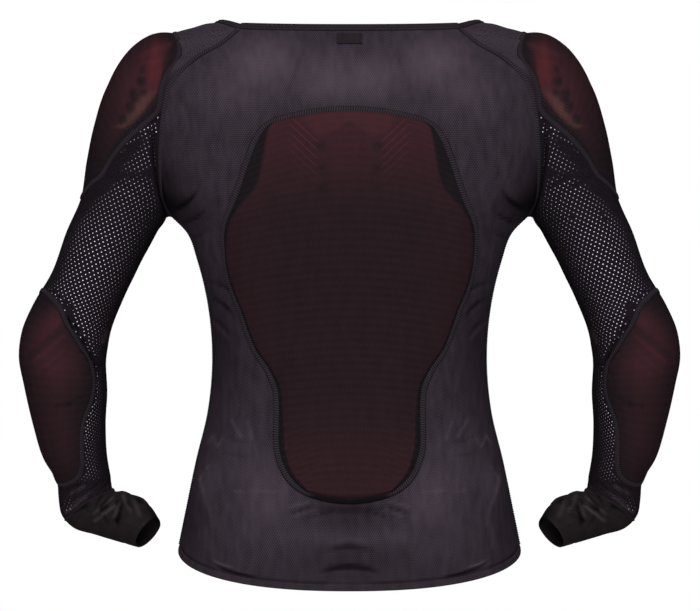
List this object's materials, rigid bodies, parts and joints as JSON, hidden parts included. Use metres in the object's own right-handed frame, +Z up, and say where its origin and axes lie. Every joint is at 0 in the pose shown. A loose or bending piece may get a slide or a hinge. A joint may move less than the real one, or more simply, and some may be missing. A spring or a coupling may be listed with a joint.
{
  "type": "motorcycle body armour",
  "caption": "Long-sleeve stretch shirt with a back protector in an outer pocket and padded shoulder and elbow caps, worn shape and hollow, with open neck, hem and cuffs.",
  "frame": {"origin": "on the shoulder line, midway between the shoulders, where the wearer holds the shirt up", "axes": "+X to the wearer's right, +Y to the wearer's front, +Z up; the back faces -Y"},
  "size_m": [0.6974, 0.2376, 0.5916],
  "materials": {
    "torso_knit": "warp-knit stretch cloth with a soft sheen",
    "stretch_knit": "black thin stretch knit",
    "spacer_mesh": "open spacer mesh with round holes",
    "cuff_knit": "plain cuff knit",
    "pad_foam": "moulded soft foam, matt",
    "trim_tape": "black woven tape"
  },
  "bodies": {
    "root": {"back_panel": "torso_knit", "front_panel": "torso_knit", "neck_binding": "trim_tape", "back_pocket": "stretch_knit", "back_protector": "pad_foam", "neck_label": "trim_tape", "shoulder_yoke_right": "spacer_mesh", "shoulder_cap_right": "stretch_knit", "shoulder_pad_right": "pad_foam", "upper_sleeve_right": "spacer_mesh", "forearm_sleeve_right": "spacer_mesh", "elbow_cap_right": "stretch_knit", "elbow_pad_right": "pad_foam", "cuff_right": "cuff_knit", "shoulder_yoke_left": "spacer_mesh", "shoulder_cap_left": "stretch_knit", "shoulder_pad_left": "pad_foam", "upper_sleeve_left": "spacer_mesh", "forearm_sleeve_left": "spacer_mesh", "elbow_cap_left": "stretch_knit", "elbow_pad_left": "pad_foam", "cuff_left": "cuff_knit"}
  },
  "joints": []
}
